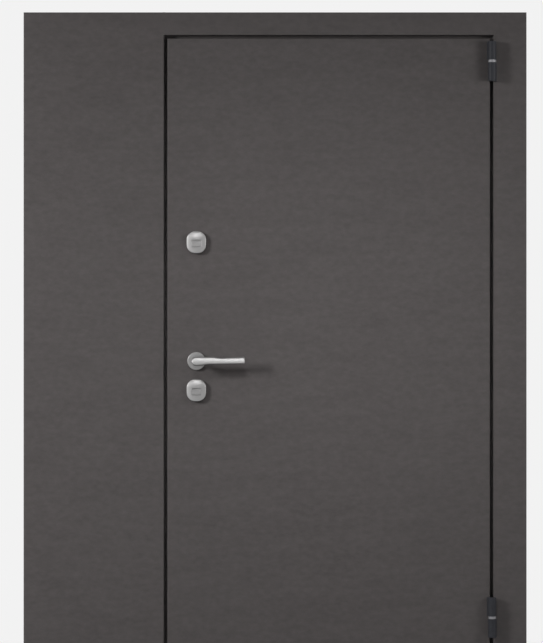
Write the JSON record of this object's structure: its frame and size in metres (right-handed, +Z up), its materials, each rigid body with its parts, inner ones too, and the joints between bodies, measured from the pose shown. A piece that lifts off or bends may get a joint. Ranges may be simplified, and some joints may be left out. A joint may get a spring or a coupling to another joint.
{
  "type": "steel entrance door with fixed side panel",
  "caption": "Steel entrance door: a hinged leaf with lever handle and lock escutcheons beside a fixed blind side panel, in a folded steel frame with wall flange.",
  "frame": {"origin": "middle of the threshold's underside, half way across the door and through the frame's depth", "axes": "+X to the right seen from outside, +Y into the building, +Z up"},
  "size_m": [1.5, 0.208, 2.05],
  "materials": {
    "powder_coat": "dark warm grey powder coat with a fine texture",
    "hinge_paint": "dark grey paint, satin",
    "bearing_steel": "bright turned steel",
    "seal_rubber": "black matte rubber",
    "stainless": "stainless steel, brushed lengthwise",
    "bolt_steel": "plated steel",
    "satin_nickel": "satin nickel",
    "cover_nickel": "satin nickel, slightly darker"
  },
  "bodies": {
    "frame": {"hinge_jamb": "powder_coat", "frame_head": "powder_coat", "lock_post": "powder_coat", "outer_jamb": "powder_coat", "threshold": "powder_coat", "side_panel_skin": "powder_coat", "side_panel_back": "powder_coat", "side_panel_head": "powder_coat", "side_panel_sill": "powder_coat", "upper_hinge_frame_half": "hinge_paint", "lower_hinge_frame_half": "hinge_paint", "upper_hinge_bearing": "bearing_steel", "lower_hinge_bearing": "bearing_steel", "seal_lock_side": "seal_rubber", "seal_hinge_side": "seal_rubber", "seal_head": "seal_rubber", "seal_threshold": "seal_rubber", "threshold_plate": "stainless", "upper_strike_plate": "stainless", "lower_strike_plate": "stainless"},
    "leaf": {"leaf_skin": "powder_coat", "leaf_body": "powder_coat", "upper_escutcheon_outside": "satin_nickel", "upper_escutcheon_inside": "satin_nickel", "lower_escutcheon_outside": "satin_nickel", "lower_escutcheon_inside": "satin_nickel", "handle_rose_outside": "satin_nickel", "handle_rose_inside": "satin_nickel", "upper_keyhole_cover_outside": "cover_nickel", "upper_keyhole_cover_inside": "cover_nickel", "lower_keyhole_cover_outside": "cover_nickel", "lower_keyhole_cover_inside": "cover_nickel", "upper_lock_faceplate": "stainless", "lower_lock_faceplate": "stainless", "upper_lock_bolts": "bolt_steel", "lower_lock_bolts": "bolt_steel", "latch_bolt": "bolt_steel", "upper_hinge_leaf_half": "hinge_paint", "lower_hinge_leaf_half": "hinge_paint"},
    "handle": {"lever_outside": "satin_nickel", "lever_inside": "satin_nickel", "spindle": "bolt_steel"}
  },
  "joints": [
    {"name": "leaf_swing", "type": "hinge", "parent": "frame", "child": "leaf", "pos_m": [0.646, -0.0725, 1.075], "axis": [0, 0, 1], "range_deg": [0, 170]},
    {"name": "handle_turn", "type": "hinge", "parent": "leaf", "child": "handle", "pos_m": [-0.2345, -0.011, 1.01], "axis": [0, 1, 0], "range_deg": [0, 45], "stiffness_Nm_per_rad": 2, "springref_deg": -34.38}
  ]
}
